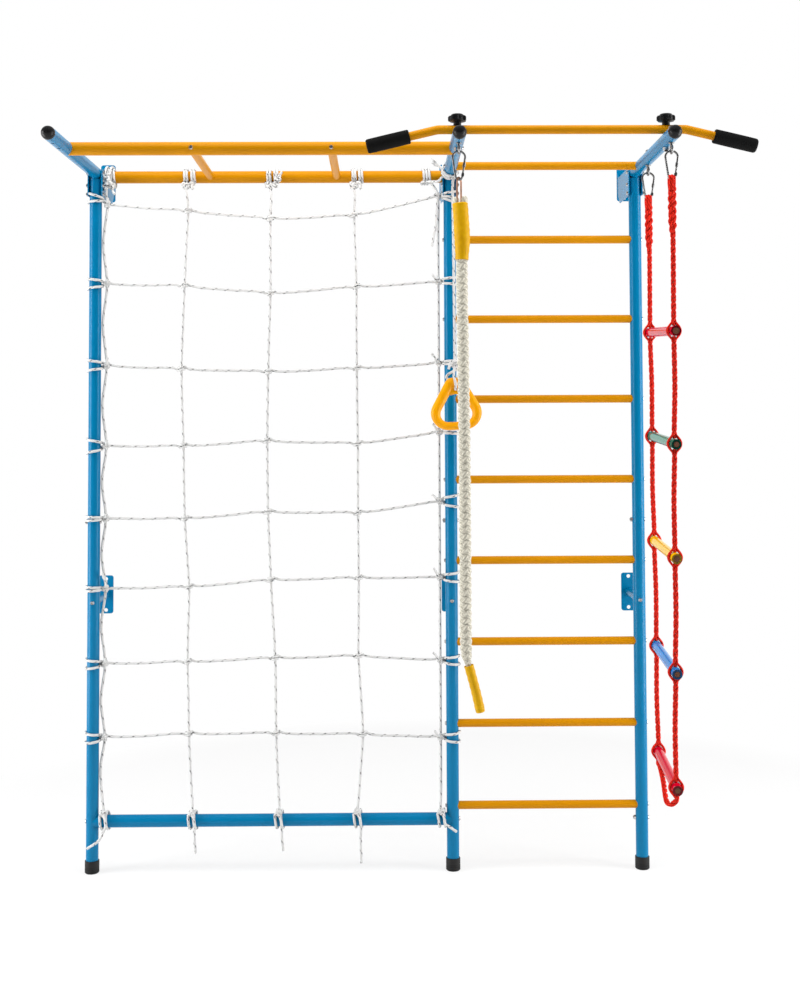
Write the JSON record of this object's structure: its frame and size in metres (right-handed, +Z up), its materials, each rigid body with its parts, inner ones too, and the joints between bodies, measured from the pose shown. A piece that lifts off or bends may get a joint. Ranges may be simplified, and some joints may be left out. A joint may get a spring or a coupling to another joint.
{
  "type": "wall-mounted climbing gym",
  "caption": "Wall-mounted children's climbing gym: tube frame with ladder wall, rope net, monkey and pull-up bars, hanging rope, ring and rope ladder",
  "frame": {"origin": "On the floor under the middle post's foot, on the axis of the post.", "axes": "+X runs to the right along the wall, +Y points at the wall, +Z is up. The play side faces -Y."},
  "size_m": [1.9772, 0.7712, 2.2326],
  "materials": {
    "blue_enamel": "smooth glossy powder coat",
    "yellow_enamel": "smooth glossy powder coat",
    "black_plastic": "satin moulded",
    "black_rubber": "matt moulded",
    "black_foam": "matt closed-cell foam",
    "zinc_steel": "zinc plated",
    "copper_wire": "drawn wire",
    "braided_rope": "plaited",
    "yellow_sleeve": "shrunk film over the rope",
    "red_rope": "twisted",
    "net_rope": "braided, dark flecks",
    "red_rung": "smooth, wood core at the ends",
    "green_rung": "smooth, wood core at the ends",
    "yellow_rung": "smooth, wood core at the ends",
    "blue_rung": "smooth, wood core at the ends",
    "ring_plastic": "smooth moulded"
  },
  "bodies": {
    "frame": {"left_post_lower": "blue_enamel", "middle_post_lower": "blue_enamel", "right_post_lower": "blue_enamel", "left_post_upper": "blue_enamel", "middle_post_upper": "blue_enamel", "right_post_upper": "blue_enamel", "post_feet": "black_rubber", "rung_1": "yellow_enamel", "rung_2": "yellow_enamel", "rung_3": "yellow_enamel", "rung_4": "yellow_enamel", "rung_5": "yellow_enamel", "rung_6": "yellow_enamel", "rung_7": "yellow_enamel", "rung_8": "yellow_enamel", "top_rung": "yellow_enamel", "left_arm": "blue_enamel", "middle_arm": "blue_enamel", "right_arm": "blue_enamel", "arm_caps": "black_plastic", "left_top_bracket": "blue_enamel", "middle_top_bracket": "blue_enamel", "right_top_bracket": "blue_enamel", "left_mid_bracket": "blue_enamel", "middle_mid_bracket": "blue_enamel", "right_mid_bracket": "blue_enamel", "front_bar": "yellow_enamel", "rear_bar": "yellow_enamel", "bottom_bar": "blue_enamel", "left_monkey_rung": "yellow_enamel", "right_monkey_rung": "yellow_enamel", "frame_bolts": "zinc_steel", "pull_up_bar": "yellow_enamel", "left_grip": "black_foam", "right_grip": "black_foam", "clamp_nuts": "zinc_steel", "eye_bolts": "zinc_steel", "climbing_net": "net_rope"},
    "left_knob": {"left_knob": "black_plastic"},
    "right_knob": {"right_knob": "black_plastic"},
    "rope_hook": {"rope_carabiner": "zinc_steel"},
    "rope_gate": {"rope_gate": "zinc_steel"},
    "climbing_rope": {"rope_thimble": "copper_wire", "climbing_rope": "braided_rope", "upper_sleeve": "yellow_sleeve", "lower_sleeve": "yellow_sleeve"},
    "ladder": {"ladder_front_carabiner": "zinc_steel", "ladder_rear_carabiner": "zinc_steel", "ladder_rope_front": "red_rope", "ladder_rope_rear": "red_rope", "ladder_rung_1": "red_rung", "ladder_rung_2": "green_rung", "ladder_rung_3": "yellow_rung", "ladder_rung_4": "blue_rung", "ladder_rung_5": "red_rung"},
    "ladder_front_gate": {"ladder_front_gate": "zinc_steel"},
    "ladder_rear_gate": {"ladder_rear_gate": "zinc_steel"},
    "ring": {"hand_ring": "ring_plastic", "ring_rope": "net_rope"}
  },
  "joints": [
    {"name": "left_knob_turn", "type": "hinge", "parent": "frame", "child": "left_knob", "pos_m": [0, -0.46, 2.21], "axis": [0, 0, 1], "continuous": true},
    {"name": "right_knob_turn", "type": "hinge", "parent": "frame", "child": "right_knob", "pos_m": [0.583, -0.46, 2.21], "axis": [0, 0, 1], "continuous": true},
    {"name": "rope_hook_swing", "type": "hinge", "parent": "frame", "child": "rope_hook", "pos_m": [0, -0.525, 2.1156], "axis": [1, 0, 0], "range_deg": [-45, 12]},
    {"name": "rope_gate_hinge", "type": "hinge", "parent": "rope_hook", "child": "rope_gate", "pos_m": [0.01042, -0.525, 2.05264], "axis": [0, -1, 0], "range_deg": [0, 22], "stiffness_Nm_per_rad": 0.02},
    {"name": "climbing_rope_swing", "type": "hinge", "parent": "rope_hook", "child": "climbing_rope", "pos_m": [0, -0.525, 2.0471], "axis": [0, 1, 0], "range_deg": [-12, 40]},
    {"name": "ladder_swing", "type": "hinge", "parent": "frame", "child": "ladder", "pos_m": [0.583, -0.3685, 2.0986], "axis": [0, 1, 0], "range_deg": [-45, 8]},
    {"name": "ladder_front_gate_hinge", "type": "hinge", "parent": "ladder", "child": "ladder_front_gate", "pos_m": [0.59342, -0.525, 2.05264], "axis": [0, -1, 0], "range_deg": [0, 22], "stiffness_Nm_per_rad": 0.02},
    {"name": "ladder_rear_gate_hinge", "type": "hinge", "parent": "ladder", "child": "ladder_rear_gate", "pos_m": [0.59342, -0.212, 2.05264], "axis": [0, -1, 0], "range_deg": [0, 22], "stiffness_Nm_per_rad": 0.02},
    {"name": "ring_swing", "type": "hinge", "parent": "frame", "child": "ring", "pos_m": [0, -0.07, 2.1582], "axis": [0, 1, 0], "range_deg": [-35, 35]}
  ]
}
